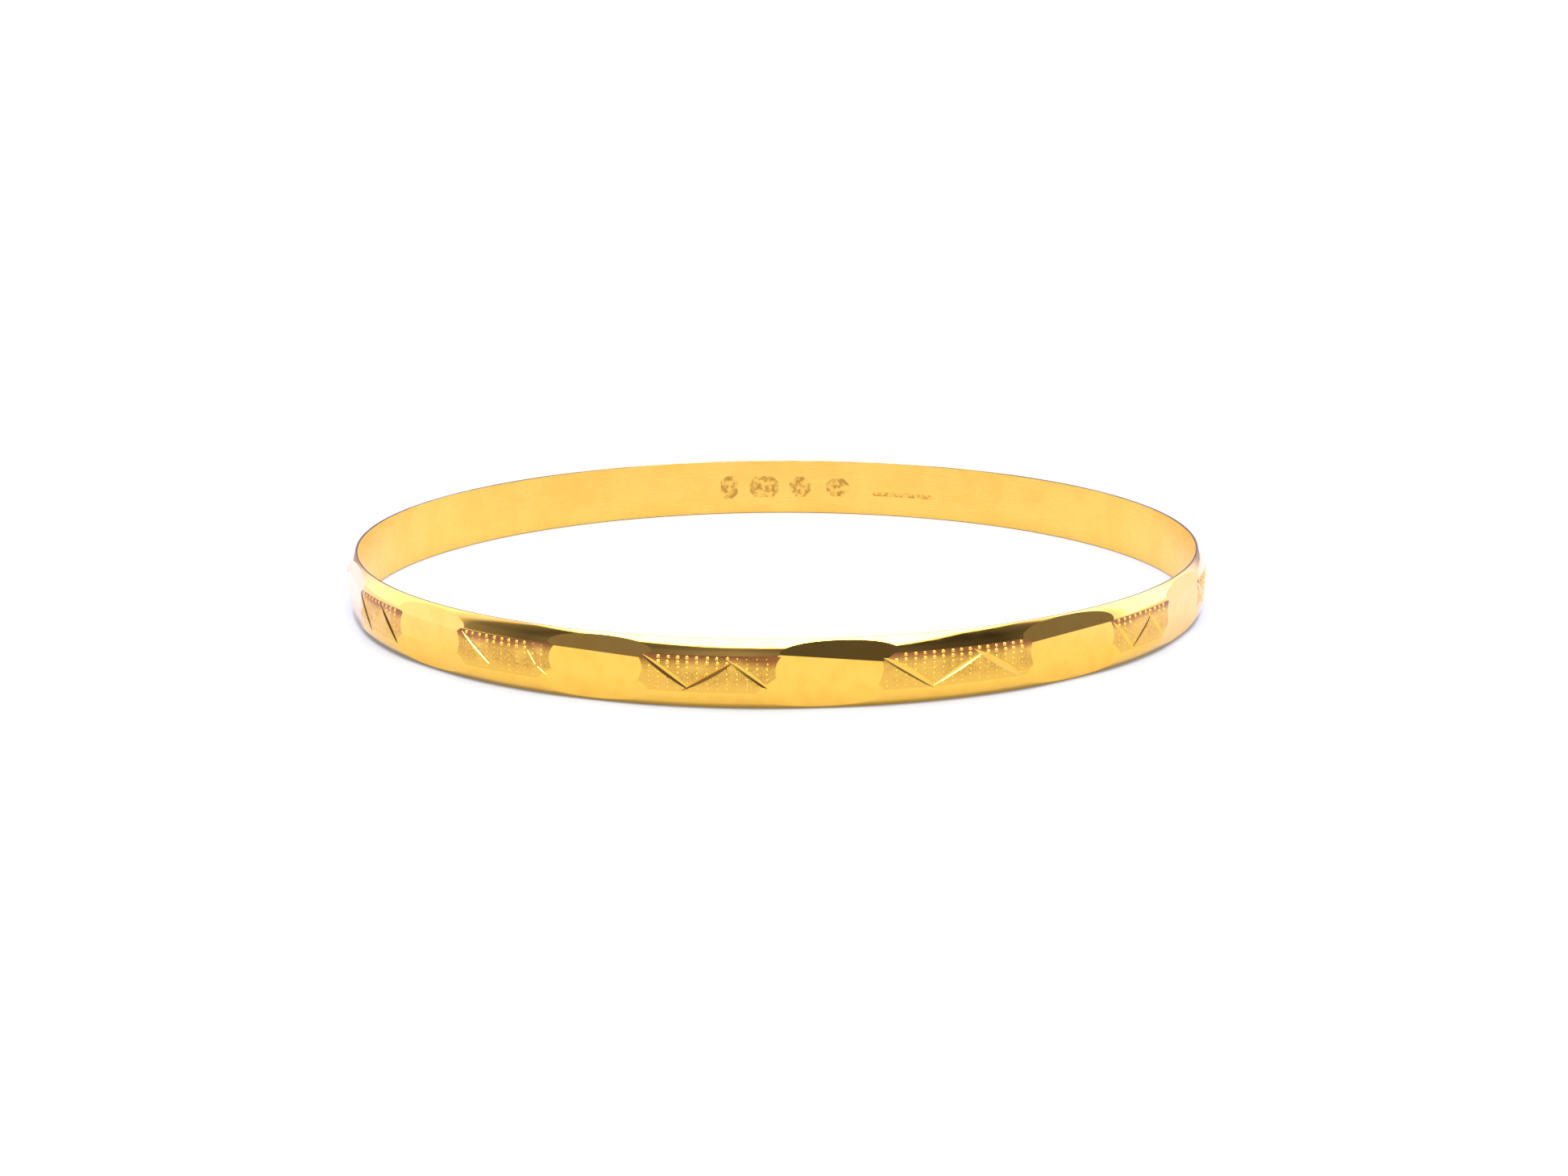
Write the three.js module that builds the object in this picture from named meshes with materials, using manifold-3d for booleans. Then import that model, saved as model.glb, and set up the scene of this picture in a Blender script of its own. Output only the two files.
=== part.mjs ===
// A closed, rigid gold bangle of the slip-on kind. One drawn D-section strip is bent round into a
// ring and its ends are joined by a thin wafer of hard solder. Bright-cut flats take turns with
// beaded panels, and each panel carries a zigzag of three V-cut strokes. The beads are too fine to
// be modelled one by one: the outer face stands for their tops.
//
// Millimetres. The origin is the middle of the ring at mid height and +Z is the ring's axis.
// Azimuths are in degrees from the front of the ring (-Y), growing towards +X.
import * as THREE from 'three';
import { mergeVertices } from 'three/addons/utils/BufferGeometryUtils.js';
import Module from 'manifold-3d';

// Ring and section
const INNER_RADIUS = 31.75;
const BAND_HEIGHT = 4.68;
const INNER_BEVEL = 0.04;
const LAND_WIDTH = 0.12; // flat on the top and bottom edge, which the bangle rests on
const BELT_HALF_HEIGHT = 1.2; // the almost flat middle of the outer face
const BELT_RADIUS = 11.5;
const EDGE_SLOPE = 50; // lean of the outer face where it meets the land

// Mesh fineness
const RING_SEGMENTS = 144;
const BELT_STEPS = 3;
const SHOULDER_STEPS = 4;

// Bright-cut flats: an upper, a middle and a lower flat at each stop of the cutter
const STOPS = 12;
const FIRST_STOP = 6.3;
const MIDDLE_FLAT_HEIGHT = 0.33;
const UPPER_RIDGE_HEIGHT = 1.1;
const LOWER_RIDGE_HEIGHT = -0.45;
const MIDDLE_LEAN = 1.6;
const UPPER_LEAN = 14.4;
const LOWER_LEAN = -9.5;

// Hand work shows in every flat: how far its stop is off the even spacing, how deep it is cut at
// the middle, and how much its ridges are askew (positive lowers the end nearer +X).
const FLATS = [
  { drift: -0.4, depth: 0.23, skew: 5.3 },
  { drift: 1.95, depth: 0.27, skew: -2.2 },
  { drift: -2.3, depth: 0.23, skew: 1.5 },
  { drift: -1.5, depth: 0.21, skew: -2 },
  { drift: -0.5, depth: 0.24, skew: 3 },
  { drift: 1, depth: 0.22, skew: 1 },
  { drift: 3, depth: 0.25, skew: -3 },
  { drift: 5, depth: 0.21, skew: 2 },
  { drift: 7.5, depth: 0.23, skew: -1 },
  { drift: 9.8, depth: 0.24, skew: 2.5 },
  { drift: 5.95, depth: 0.22, skew: 1 },
  { drift: 1.85, depth: 0.21, skew: 2.2 },
];

// The ground between the beads of a panel lies this much below the outer face.
const GROUND_DEPTH = 0.03;

// Zigzag of a panel, stroke by stroke: start and end as [share of the panel's width from its
// low-azimuth side, height], and the depth left at the two ends.
const STROKES = [
  [[-0.01, 1.2], [0.31, -1.02], 0.012],
  [[0.34, -0.92], [0.635, 0.73], 0.012],
  [[0.605, 1.04], [0.92, -1.06], 0.012],
];
// In one panel the middle stroke is missing and the last one is broken in two. In the next one
// the graver strayed a little from the common zigzag.
const OWN_STROKES = new Map([
  [10, [
    [[0.05, 1.12], [0.345, -0.55], 0.03],
    [[0.8, 0.6], [0.868, -0.15], 0.035],
    [[0.9, -0.36], [0.985, -0.85], 0.045],
  ]],
  [11, [
    [[-0.03, 1.45], [0.325, -0.72], 0.012],
    [[0.34, -1.0], [0.69, 0.78], 0.012],
    [[0.655, 1.1], [0.98, -0.98], 0.012],
  ]],
]);
const STROKE_OVERRUN = 1.15; // length of the cut over the length of its stroke

// Tilt of the upper and the lower wall of a V-cut from the surface, as the graver leans.
const LEANING_UP = { upper: 17, lower: 40 };
const OPEN = { upper: 20, lower: 44 };
const UPRIGHT = { upper: 33, lower: 50 };
const LEANING_DOWN = { upper: 45, lower: 20 };
const SPREAD = { upper: 22, lower: 30 };
const STROKE_WALLS = [
  [LEANING_UP, OPEN, SPREAD],
  [LEANING_UP, LEANING_DOWN, LEANING_UP],
  [LEANING_UP, OPEN, SPREAD],
  [SPREAD, LEANING_DOWN, LEANING_UP],
  [LEANING_UP, OPEN, LEANING_UP],
  [SPREAD, OPEN, SPREAD],
  [LEANING_UP, LEANING_DOWN, SPREAD],
  [LEANING_UP, OPEN, LEANING_UP],
  [SPREAD, LEANING_DOWN, LEANING_UP],
  [LEANING_UP, LEANING_DOWN, LEANING_UP],
  [OPEN, UPRIGHT, UPRIGHT],
  [SPREAD, LEANING_DOWN, SPREAD],
];

// Solder joint, in the middle of one flat at the side of the ring
const SEAM_STOP = 3;
const SOLDER_THICKNESS = 0.2;
const SEAM_CLEARANCE = 0.3;

// Cutting tools reach past the metal but are small enough to miss the far side of the ring.
const TOOL_SIZE = 12;
const STROKE_TOOL_HEIGHT = 0.6;

const GOLD = { color: 0xe0a63c, roughness: 0.22, metalness: 1 };
const SOLDER = { color: 0xe3b75c, roughness: 0.35, metalness: 1 };

const HALF_HEIGHT = BAND_HEIGHT / 2;
const BELT_SLOPE = THREE.MathUtils.radToDeg(Math.asin(BELT_HALF_HEIGHT / BELT_RADIUS));
const SHOULDER_RADIUS = (HALF_HEIGHT - BELT_HALF_HEIGHT) / (sin(EDGE_SLOPE) - sin(BELT_SLOPE));
const BELT_DROP = BELT_RADIUS * (1 - cos(BELT_SLOPE));
const SHOULDER_DROP = SHOULDER_RADIUS * (cos(BELT_SLOPE) - cos(EDGE_SLOPE));
const WALL = INNER_BEVEL + LAND_WIDTH + BELT_DROP + SHOULDER_DROP;
const OUTER_RADIUS = INNER_RADIUS + WALL;

function sin(degrees) {
  return Math.sin(THREE.MathUtils.degToRad(degrees));
}

function cos(degrees) {
  return Math.cos(THREE.MathUtils.degToRad(degrees));
}

function tan(degrees) {
  return Math.tan(THREE.MathUtils.degToRad(degrees));
}

const wasm = await Module();
wasm.setup();

function toSolid(geometry) {
  geometry.deleteAttribute('normal');
  geometry.deleteAttribute('uv');
  const merged = mergeVertices(geometry);
  const mesh = new wasm.Mesh({
    numProp: 3,
    vertProperties: new Float32Array(merged.attributes.position.array),
    triVerts: new Uint32Array(merged.index.array),
  });
  return new wasm.Manifold(mesh);
}

function toMesh(name, solid, look) {
  const { vertProperties, triVerts } = solid.getMesh();
  const geometry = new THREE.BufferGeometry();
  geometry.setAttribute('position', new THREE.BufferAttribute(vertProperties, 3));
  geometry.setIndex(new THREE.BufferAttribute(triVerts, 1));
  geometry.computeVertexNormals();
  const mesh = new THREE.Mesh(geometry, new THREE.MeshStandardMaterial(look));
  mesh.name = name;
  return mesh;
}

// Outer face of the section from the bottom edge to the top edge: a shoulder arc, the nearly flat
// belt and the other shoulder arc, each running smoothly into the next.
function outerFace() {
  const arcs = [
    { radius: SHOULDER_RADIUS, from: -EDGE_SLOPE, to: -BELT_SLOPE, steps: SHOULDER_STEPS },
    { radius: BELT_RADIUS, from: -BELT_SLOPE, to: BELT_SLOPE, steps: BELT_STEPS },
    { radius: SHOULDER_RADIUS, from: BELT_SLOPE, to: EDGE_SLOPE, steps: SHOULDER_STEPS },
  ];
  const point = new THREE.Vector2(INNER_RADIUS + INNER_BEVEL + LAND_WIDTH, -HALF_HEIGHT);
  const points = [point.clone()];
  for (const { radius, from, to, steps } of arcs) {
    for (let step = 0; step < steps; step += 1) {
      const before = from + ((to - from) * step) / steps;
      const after = from + ((to - from) * (step + 1)) / steps;
      point.x += radius * (cos(after) - cos(before));
      point.y += radius * (sin(after) - sin(before));
      points.push(point.clone());
    }
  }
  return points;
}

// The whole ring before cutting, turned about the axis.
function plainRing() {
  const profile = [
    new THREE.Vector2(INNER_RADIUS, HALF_HEIGHT - INNER_BEVEL),
    new THREE.Vector2(INNER_RADIUS, INNER_BEVEL - HALF_HEIGHT),
    new THREE.Vector2(INNER_RADIUS + INNER_BEVEL, -HALF_HEIGHT),
    ...outerFace(),
    new THREE.Vector2(INNER_RADIUS + INNER_BEVEL, HALF_HEIGHT),
    new THREE.Vector2(INNER_RADIUS, HALF_HEIGHT - INNER_BEVEL),
  ];
  const geometry = new THREE.LatheGeometry(profile, RING_SEGMENTS);
  geometry.rotateX(Math.PI / 2);
  return toSolid(geometry);
}

function stopAzimuth(index) {
  return FIRST_STOP + (index * 360) / STOPS + FLATS[index].drift;
}

// A tool whose working face leans by lean and passes through the given radius and height.
function flatTool(radius, height, lean, skew, azimuth) {
  const tool = new THREE.BoxGeometry(TOOL_SIZE, TOOL_SIZE, TOOL_SIZE);
  tool.translate(0, -TOOL_SIZE / 2, 0);
  tool.rotateX(THREE.MathUtils.degToRad(-lean));
  tool.translate(0, -radius, height - MIDDLE_FLAT_HEIGHT);
  tool.rotateY(THREE.MathUtils.degToRad(skew));
  tool.translate(0, 0, MIDDLE_FLAT_HEIGHT);
  tool.rotateZ(THREE.MathUtils.degToRad(azimuth));
  return toSolid(tool);
}

function flatTools({ depth, skew }, index) {
  const azimuth = stopAzimuth(index);
  const radius = OUTER_RADIUS - depth;
  const upperRadius = radius - (UPPER_RIDGE_HEIGHT - MIDDLE_FLAT_HEIGHT) * tan(MIDDLE_LEAN);
  const lowerRadius = radius - (LOWER_RIDGE_HEIGHT - MIDDLE_FLAT_HEIGHT) * tan(MIDDLE_LEAN);
  return [
    flatTool(radius, MIDDLE_FLAT_HEIGHT, MIDDLE_LEAN, skew, azimuth),
    flatTool(upperRadius, UPPER_RIDGE_HEIGHT, UPPER_LEAN, skew, azimuth),
    flatTool(lowerRadius, LOWER_RIDGE_HEIGHT, LOWER_LEAN, skew, azimuth),
  ];
}

// Azimuth where the middle flat runs out into the panel's ground, on the given side of its stop.
function flatEnd(index, side) {
  const halfAngle = Math.acos(1 - (FLATS[index].depth - GROUND_DEPTH) / OUTER_RADIUS);
  return stopAzimuth(index) + side * THREE.MathUtils.radToDeg(halfAngle);
}

// A long prism with its sharp edge along X. It opens outwards, towards -Y.
function prismTool(length, { upper, lower }) {
  const section = new THREE.Shape([
    new THREE.Vector2(0, 0),
    new THREE.Vector2(STROKE_TOOL_HEIGHT, STROKE_TOOL_HEIGHT / tan(upper)),
    new THREE.Vector2(STROKE_TOOL_HEIGHT, -STROKE_TOOL_HEIGHT / tan(lower)),
  ]);
  const prism = new THREE.ExtrudeGeometry(section, { depth: length, bevelEnabled: false });
  prism.translate(0, 0, -length / 2);
  const outwards = new THREE.Vector3(0, -1, 0);
  const upwards = new THREE.Vector3(0, 0, 1);
  const along = new THREE.Vector3(-1, 0, 0);
  return prism.applyMatrix4(new THREE.Matrix4().makeBasis(outwards, upwards, along));
}

// A V tool planed straight across the curved face leaves a groove that narrows to its ends. The
// groove is centred on the line of the stroke, whichever way its walls lean.
function strokeTool([[along1, height1], [along2, height2], endDepth], walls, panelStart, panelWidth) {
  const run = (along2 - along1) * THREE.MathUtils.degToRad(panelWidth) * OUTER_RADIUS;
  const rise = height2 - height1;
  const sag = (run * run / OUTER_RADIUS + rise * rise / BELT_RADIUS) / 8;
  const depth = sag + endDepth;
  const height = (height1 + height2) / 2;
  const surface = OUTER_RADIUS - (height * height) / (2 * BELT_RADIUS) - GROUND_DEPTH;
  const offset = (depth / tan(walls.lower) - depth / tan(walls.upper)) / 2;
  const tool = prismTool(STROKE_OVERRUN * Math.hypot(run, rise), walls);
  tool.translate(0, depth - surface, offset);
  tool.rotateY(Math.atan2(-rise, run));
  tool.translate(0, 0, height);
  tool.rotateZ(THREE.MathUtils.degToRad(panelStart + ((along1 + along2) / 2) * panelWidth));
  return toSolid(tool);
}

function panelTools(index) {
  const start = flatEnd(index, 1);
  const next = (index + 1) % STOPS;
  const turn = next === 0 ? 360 : 0;
  const width = flatEnd(next, -1) + turn - start;
  const strokes = OWN_STROKES.get(index) ?? STROKES;
  return strokes.map((stroke, number) => strokeTool(stroke, STROKE_WALLS[index][number], start, width));
}

// A slab across the band at the seam, square to the ring.
function seamSlab(thickness) {
  const slab = new THREE.BoxGeometry(thickness, TOOL_SIZE, TOOL_SIZE);
  slab.translate(0, -OUTER_RADIUS, 0);
  slab.rotateZ(THREE.MathUtils.degToRad(stopAzimuth(SEAM_STOP)));
  return toSolid(slab);
}

function decoratedRing() {
  const tools = FLATS.flatMap((flat, index) => [...flatTools(flat, index), ...panelTools(index)]);
  return tools.reduce((ring, tool) => ring.subtract(tool), plainRing());
}

function makeBand(ring) {
  return toMesh('band', ring.subtract(seamSlab(SOLDER_THICKNESS + 2 * SEAM_CLEARANCE)), GOLD);
}

function makeSolderSeam(ring) {
  return toMesh('solder_seam', ring.intersect(seamSlab(SOLDER_THICKNESS)), SOLDER);
}

const ring = decoratedRing();
const bangle = new THREE.Group();
bangle.add(makeBand(ring), makeSolderSeam(ring));

export default bangle;
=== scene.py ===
import math
import random

import bpy
import numpy as np
from mathutils import Matrix, Quaternion, Vector, kdtree


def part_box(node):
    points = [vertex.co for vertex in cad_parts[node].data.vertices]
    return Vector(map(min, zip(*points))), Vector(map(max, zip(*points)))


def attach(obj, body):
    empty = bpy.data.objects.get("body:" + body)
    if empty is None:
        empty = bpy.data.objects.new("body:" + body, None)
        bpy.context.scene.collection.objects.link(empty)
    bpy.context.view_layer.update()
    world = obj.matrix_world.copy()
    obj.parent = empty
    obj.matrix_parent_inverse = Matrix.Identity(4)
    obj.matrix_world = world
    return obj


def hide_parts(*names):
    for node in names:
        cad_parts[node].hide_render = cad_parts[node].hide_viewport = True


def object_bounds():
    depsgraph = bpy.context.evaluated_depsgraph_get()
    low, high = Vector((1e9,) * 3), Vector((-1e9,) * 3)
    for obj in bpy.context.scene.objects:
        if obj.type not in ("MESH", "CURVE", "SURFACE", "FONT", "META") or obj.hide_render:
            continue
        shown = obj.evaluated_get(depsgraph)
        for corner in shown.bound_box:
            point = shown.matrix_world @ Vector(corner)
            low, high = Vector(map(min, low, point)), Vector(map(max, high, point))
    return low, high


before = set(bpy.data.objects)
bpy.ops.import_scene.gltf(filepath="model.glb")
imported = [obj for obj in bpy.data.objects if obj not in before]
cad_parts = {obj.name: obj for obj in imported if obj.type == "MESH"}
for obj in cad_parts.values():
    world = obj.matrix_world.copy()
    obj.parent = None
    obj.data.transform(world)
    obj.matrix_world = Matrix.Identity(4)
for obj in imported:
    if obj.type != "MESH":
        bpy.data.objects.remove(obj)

CAD_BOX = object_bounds()

# The bangle is built in millimetres and scaled to metres at the end.
MM = 0.001
BAND_LOW, BAND_HIGH = (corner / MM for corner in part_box("band"))

# Section: a flat inside, small rounded edges, an almost flat belt and rounded shoulders
HALF_HEIGHT = (BAND_HIGH.z - BAND_LOW.z) / 2
OUTER_RADIUS = BAND_HIGH.y
INNER_RADIUS = 31.75
INNER_ROUND = 0.05
OUTER_ROUND = 0.1
BELT_HALF_HEIGHT = 1.2
BELT_RADIUS = 11.5
EDGE_SLOPE = 50.0
# The beaded ground lies below the dome between these two heights. It has a small step at the top
# and runs out softly at the bottom.
BEADED_TOP = 1.3
BEADED_BOTTOM = -1.18
GROUND_DEPTH = 0.03
GROUND_STEP = 0.03
GROUND_FADE = 0.9

# Mesh fineness
RING_COLUMNS = 720
INSIDE_ROWS = 8
ROUND_ROWS = 3
SHOULDER_ROWS = 14
BELT_ROWS = 12
WELD_DISTANCE = 0.00012  # points nearer than this become one

# Shapes of the cutting tools: a unit cube, and a prism between two triangles
BOX_CORNERS = [(x, y, z) for x in (-0.5, 0.5) for y in (-0.5, 0.5) for z in (-0.5, 0.5)]
BOX_FACES = [(0, 1, 3, 2), (4, 6, 7, 5), (0, 4, 5, 1), (2, 3, 7, 6), (0, 2, 6, 4), (1, 5, 7, 3)]
PRISM_FACES = [(0, 2, 1), (3, 4, 5), (0, 1, 4, 3), (1, 2, 5, 4), (2, 0, 3, 5)]

# Bright-cut flats, as in the CAD model: an upper, a middle and a lower flat at each stop
STOPS = 12
FIRST_STOP = 6.3
MIDDLE_FLAT_HEIGHT = 0.33
UPPER_RIDGE_HEIGHT = 1.1
LOWER_RIDGE_HEIGHT = -0.45
MIDDLE_LEAN = 1.6
UPPER_LEAN = 14.4
LOWER_LEAN = -9.5
RIDGES = [  # a height on the middle flat, and the lean of the flat that passes through it there
    (MIDDLE_FLAT_HEIGHT, MIDDLE_LEAN), (UPPER_RIDGE_HEIGHT, UPPER_LEAN), (LOWER_RIDGE_HEIGHT, LOWER_LEAN),
]
TOOL_SIZE = 12.0  # side of the boxes that cut
FLATS = [  # drift of the stop in degrees, depth in mm, skew in degrees
    (-0.4, 0.23, 5.3), (1.95, 0.27, -2.2), (-2.3, 0.23, 1.5), (-1.5, 0.21, -2),
    (-0.5, 0.24, 3), (1, 0.22, 1), (3, 0.25, -3), (5, 0.21, 2),
    (7.5, 0.23, -1), (9.8, 0.24, 2.5), (5.95, 0.22, 1), (1.85, 0.21, 2.2),
]

# Zigzag of three V-cut strokes in each panel: start and end as (share of the width, height), and
# the depth left at the two ends
STROKES = [
    ((-0.01, 1.2), (0.31, -1.02), 0.012),
    ((0.34, -0.92), (0.635, 0.73), 0.012),
    ((0.605, 1.04), (0.92, -1.06), 0.012),
]
# One panel lacks the middle stroke and its last one is broken in two. In the next one the graver
# strayed a little from the common zigzag.
OWN_STROKES = {
    10: [
        ((0.05, 1.12), (0.345, -0.55), 0.03),
        ((0.8, 0.6), (0.868, -0.15), 0.035),
        ((0.9, -0.36), (0.985, -0.85), 0.045),
    ],
    11: [
        ((-0.03, 1.45), (0.325, -0.72), 0.012),
        ((0.34, -1.0), (0.69, 0.78), 0.012),
        ((0.655, 1.1), (0.98, -0.98), 0.012),
    ],
}
STROKE_OVERRUN = 1.15  # length of the cut over the length of its stroke
STROKE_TOOL_HEIGHT = 0.3  # height of the prism that cuts a stroke
# Tilt of the upper and the lower wall of the V from the surface, in degrees, as the graver leans
LEANING_UP = (17, 40)
OPEN = (20, 44)
UPRIGHT = (33, 50)
LEANING_DOWN = (45, 20)
SPREAD = (22, 30)
STROKE_WALLS = [
    (LEANING_UP, OPEN, SPREAD), (LEANING_UP, LEANING_DOWN, LEANING_UP), (LEANING_UP, OPEN, SPREAD),
    (SPREAD, LEANING_DOWN, LEANING_UP), (LEANING_UP, OPEN, LEANING_UP), (SPREAD, OPEN, SPREAD),
    (LEANING_UP, LEANING_DOWN, SPREAD), (LEANING_UP, OPEN, LEANING_UP), (SPREAD, LEANING_DOWN, LEANING_UP),
    (LEANING_UP, LEANING_DOWN, LEANING_UP), (OPEN, UPRIGHT, UPRIGHT), (SPREAD, LEANING_DOWN, SPREAD),
]

# Beads of the matt panels
BEAD_COLUMNS = 312
BEAD_TOP_ROW = 1.12
BEAD_ROW_PITCH = 0.345
BEAD_ROW_SIZES = [0.9, 1.0, 0.62, 0.46, 0.4, 0.36, 0.34]  # of a whole bead, from the top row down
BEAD_SEED = 3
BEAD_STRAY_ALONG = 0.06  # as a share of the column pitch
BEAD_STRAY_UP = 0.015
BEAD_SIZE_SPREAD = (0.85, 1.06)
BEAD_CLEARANCE = 0.01  # least depth of a bead's top below the flats
WORN_SIZE = 0.4
WORN_SIZE_SPREAD = (0.6, 1.1)
WORN_PATCHES = [  # azimuth, height, half width in degrees, half height
    (-3, 1.0, 2.6, 0.5), (-9, 0.5, 1.2, 0.25), (-36, -0.1, 6, 0.85), (-39.5, 0.6, 2.6, 0.35),
    (-29.3, 1.0, 1.7, 0.5), (18, -0.6, 3, 0.4), (52, 0, 5, 1.0), (82, 0.4, 4, 0.5), (111, -0.4, 3, 0.5),
    (142, 0.6, 3, 0.4), (176, 0, 4, 0.6), (-154, 0.3, 3, 0.5), (-122, -0.3, 4, 0.5), (-92, 0.5, 3, 0.5),
    (-61, 0, 5, 1.0),
]
BEAD_BASE_RADIUS = 0.15
BEAD_HEIGHT = 0.075
BEAD_SIDES = 10
BEAD_RINGS = 3
BEAD_ROOT = 0.05  # how far a bead reaches below the ground

# The closing seam, a wafer of solder across the band
SEAM_STOP = 3
SOLDER_THICKNESS = 0.2

# Blank, worn stamps inside the back of the ring: centre azimuth and height, width, tallness, corner cut
STAMPS = [
    (187.6, 0, 1.5, 2.0, 0.45), (182.0, 0, 2.5, 1.9, 0.5), (176.2, 0, 1.9, 1.8, 0.6),
    (170.2, 0, 2.0, 1.6, 0.5), (159.5, -0.45, 5.5, 0.35, 0.12),
]
STAMP_DEPTH = 0.02
STAMP_REACH = 0.5  # how far the stamping tools stand out of the metal

# Camera: it looks from -Y and a little down, and sees the ring slightly off the middle. Angles are
# in degrees, the distance and the aim in metres, the lens and the sensor in millimetres.
CAMERA_ELEVATION = 12.74
CAMERA_DISTANCE = 0.2032
CAMERA_LENS = 60.7
CAMERA_SENSOR = 36.0
CAMERA_CLIP = (0.005, 20.0)
CAMERA_ROLL = -0.21
AIM_RIGHT = 0.00054
AIM_UP = -0.00171

# Colours, linear
GOLD = (1.0, 0.6, 0.105)
GOLD_DEEP = (0.98, 0.56, 0.09)
# The inside gold is painted paler than the outer gold, as painted light for the brighter light that falls
# inside.
INSIDE_GOLD_PAINTED_PALE = (1.0, 0.65, 0.15)
INSIDE_DEEP_PAINTED_PALE = (0.99, 0.61, 0.13)
STAMP_DIRT = (0.55, 0.31, 0.07)
# The rim's two colours are painted dark, a painted shade and reflection of the shaded inside; wear varies the
# rim between them.
RIM_SHADE_GOLD = (0.35, 0.25, 0.1)
RIM_SHADE_DARK = (0.2, 0.15, 0.07)
# The ground's colours are painted darker than the polished gold, a painted shade between the beads; the grain
# speckles the ground between these two.
GROUND_SHADED_GOLD = (0.83, 0.49, 0.09)
GROUND_SHADED_DARK = (0.6, 0.33, 0.055)
GROUND_SOFT_EDGE = (-1.1, -0.3)
# The ground turns darker red-brown in patches from its upper edge down: the colour, its largest share, the
# height where it starts and how far it reaches.
UPPER_GROUND_BROWN = (0.3, 0.1, 0.035)
UPPER_GROUND_BROWN_SHARE = 0.9
UPPER_GROUND_BROWN_LOW = 0.8
UPPER_GROUND_BROWN_REACH = 0.75
SOLDER = (0.97, 0.61, 0.14)

# Roughness from the smoothest to the roughest spots
INSIDE_ROUGHNESS = (0.24, 0.36)
STAMP_ROUGHNESS = (0.3, 0.45)
DOME_ROUGHNESS = (0.04, 0.1)
BEAD_ROUGHNESS = (0.36, 0.48)
GROUND_ROUGHNESS = (0.36, 0.52)
GROUND_LEAST_ROUGHNESS = 0.12
RIM_ROUGHNESS = (0.12, 0.22)
CUT_ROUGHNESS = (0.03, 0.06)
SOLDER_ROUGHNESS = (0.08, 0.16)
PAPER_ROUGHNESS = 0.9

# The sheet below glows a little, a painted glow, more so at the sides, and its glow dips round the foot of
# the ring as a painted contact shadow.
# The painted contact shadow: the distances from the foot between which the glow grows, and its share at each.
FLOOR_HALF_SIZE = 4.0
PAPER = (0.165, 0.165, 0.163)
PAPER_DARK = (0.158, 0.158, 0.156)
SIDE_PAPER = (0.12, 0.12, 0.12)
MIDDLE_GLOW = (0.5, 0.5, 0.5)
SIDE_GLOW = (0.78, 0.78, 1.35)
SIDE_GLOW_START = (27.0, 42.0)
FOOT_RADIUS = 31.95
# painted contact shadow: the glow round the foot of the ring is dimmed
FOOT_PAINTED_SHADOW = (0.1, 0.45, 0.45, 1.0)

# The light tent. Azimuths are from the front and elevations from the horizon, in degrees. Lights are
# strengths, and none is above BRIGHTEST.
# OPENING_LOW: the elevations between which the walls and the opening in them begin.
# OPENING_BLUR: half the width of the soft edge between them and the ceiling.
# OPENING_SIDE: the azimuths, to both sides, between which the opening ends.
# OPENING_SPREAD: the share that an azimuth loses with each degree of elevation, so that the opening
# gets wider upwards.
# OPENING_FADE: the elevations between which the opening gets dimmer, and its share at each.
BRIGHTEST = 9.0
CEILING_LIGHT = 9.0
PLAIN_WALL = 1.3
BACKDROP_LIGHT = 1.25
OPENING_LOW = (0.3, 1.5)
OPENING_TOP = [  # azimuth, and the elevation where the ceiling light begins
    (-180, 57), (-62, 57), (-50, 54), (-40, 50), (-18, 43), (4, 42), (14, 33), (30, 34), (40, 43), (52, 52),
    (62, 57), (180, 57),
]
OPENING_BLUR = 4.0
OPENING_SIDE = (88.0, 94.0)
OPENING_SPREAD = 0.0022
OPENING_FADE = (16.0, 32.0, 1.0, 0.7)
WALL_TINT = (1.0, 1.0, 1.6)
WALL_LIGHT = [  # azimuth, and the wall's light there
    (-180, 0.45), (-152, 0.5), (-138, 1.4), (-127, 1.7), (-105, 1.7), (-99, 1.3), (-91, 1.1), (-85, 0.3),
    (-66, 0.13), (-48, 0.26), (-30, 0.2), (-10, 0.36), (4, 0.2), (13, 0.105), (30, 0.12), (42, 0.08),
    (58, 0.06), (66, 0.14), (83, 0.26), (91, 1.2), (98, 1.5), (101, 3.0), (124, 3.0), (130, 1.6),
    (140, 1.5), (152, 0.5), (180, 0.45),
]

# Kinds of surface, which are the material slots of the band while it is cut
KINDS = range(10)
INSIDE, RIM, EDGE, POLISHED, GROUND, STEP, BEAD, FLAT, STROKE, STAMP = KINDS


def belt_slope():
    return math.asin(BELT_HALF_HEIGHT / BELT_RADIUS)


def shoulder_radius():
    rise = math.sin(math.radians(EDGE_SLOPE)) - math.sin(belt_slope())
    return (HALF_HEIGHT - BELT_HALF_HEIGHT) / rise


def shoulder_end_slope():
    """Slope where the shoulder arc meets the rounded outer edge."""
    shoulder = shoulder_radius()
    rise = HALF_HEIGHT - OUTER_ROUND - BELT_HALF_HEIGHT + shoulder * math.sin(belt_slope())
    return math.asin(rise / (shoulder - OUTER_ROUND))


def dome_slope(z):
    """Lean of the outer face from upright at height z, in radians."""
    side = np.sign(z)
    height = np.abs(z)
    on_belt = np.arcsin(np.minimum(height, BELT_HALF_HEIGHT) / BELT_RADIUS)
    beyond = np.maximum(height - BELT_HALF_HEIGHT, 0) / shoulder_radius()
    sine = np.minimum(np.sin(on_belt) + beyond, math.sin(shoulder_end_slope()))
    return side * np.arcsin(sine)


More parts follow.
